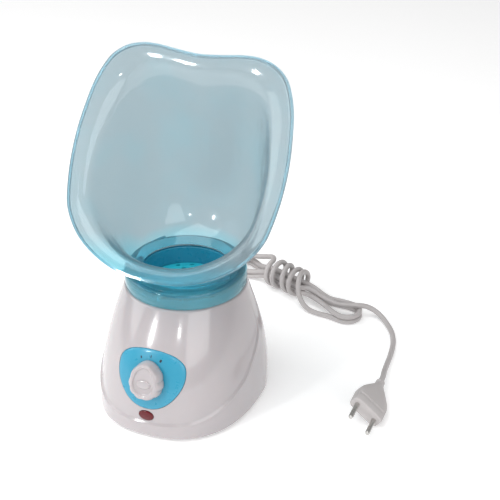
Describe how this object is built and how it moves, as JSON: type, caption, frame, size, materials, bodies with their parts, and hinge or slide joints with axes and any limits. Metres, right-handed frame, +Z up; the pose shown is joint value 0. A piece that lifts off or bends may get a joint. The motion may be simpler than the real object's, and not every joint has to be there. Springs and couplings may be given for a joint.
{
  "type": "facial steamer",
  "caption": "Tabletop facial steamer: tapered base with a turn knob, water vessel and heater, perforated lid, clear face hood and corded plug.",
  "frame": {"origin": "centre of the footprint at table level, cord and plug left out", "axes": "+Z up, -Y towards the user (knob and open side of the hood), +X to the right seen from the back"},
  "size_m": [0.2646, 0.3013, 0.2889],
  "materials": {
    "black_plastic": "matte",
    "brass": "satin",
    "lamp_glass": "clear",
    "cord_grey": "satin",
    "grey_plastic": "matte",
    "hood_blue": "clear tinted plastic",
    "lens_red": "clear red",
    "panel_blue": "gloss",
    "foot_rubber": "matte",
    "seal_silicone": "matte",
    "steel": "satin",
    "lid_teal": "satin",
    "white_plastic": "gloss",
    "wire_blue": "satin",
    "wire_red": "satin"
  },
  "bodies": {
    "base": {"base_housing": "white_plastic", "bottom_cover": "white_plastic", "foot_1": "foot_rubber", "foot_2": "foot_rubber", "foot_3": "foot_rubber", "foot_4": "foot_rubber", "cover_screw_1": "steel", "cover_screw_2": "steel", "cover_screw_3": "steel", "cover_screw_4": "steel", "control_panel": "panel_blue", "rotary_switch": "black_plastic", "switch_nut": "steel", "indicator_lens": "lens_red", "indicator_lamp": "lamp_glass", "lamp_holder": "white_plastic", "water_vessel": "white_plastic", "heating_plate": "steel", "plate_insulator": "seal_silicone", "heater_bracket": "steel", "bracket_screw_1": "steel", "bracket_screw_2": "steel", "bracket_screw_3": "steel", "heat_shield": "steel", "thermostat": "steel", "thermal_fuse": "brass", "heater_terminal_1": "brass", "heater_terminal_2": "brass", "strain_relief": "cord_grey", "cord_clamp": "white_plastic", "clamp_screw_1": "steel", "clamp_screw_2": "steel", "terminal_block": "white_plastic", "switch_wire": "wire_red", "heater_wire": "wire_blue", "lamp_wire": "wire_blue", "cord_lead": "cord_grey", "cord_hank": "cord_grey", "cord_tail": "cord_grey", "plug_body": "cord_grey", "plug_pin_1": "steel", "plug_pin_2": "steel"},
    "knob": {"selector_knob": "white_plastic", "knob_insert": "white_plastic", "switch_shaft": "grey_plastic"},
    "lid": {"chamber_lid": "lid_teal"},
    "seal": {"hood_seal": "seal_silicone"},
    "hood": {"steam_hood": "hood_blue"}
  },
  "joints": [
    {"name": "knob_turn", "type": "hinge", "parent": "base", "child": "knob", "pos_m": [0, -0.06755, 0.0505], "axis": [0, -0.9511, 0.309], "range_deg": [-26, 26]},
    {"name": "lid_lift", "type": "slide", "parent": "base", "child": "lid", "axis": [0, 0, 1], "range_m": [0, 0.05]},
    {"name": "hood_lift", "type": "slide", "parent": "base", "child": "seal", "axis": [0, 0, 1], "range_m": [0, 0.08]},
    {"name": "hood_turn", "type": "hinge", "parent": "seal", "child": "hood", "pos_m": [0, 0.0107, 0.11], "axis": [0, 0, 1], "continuous": true}
  ]
}
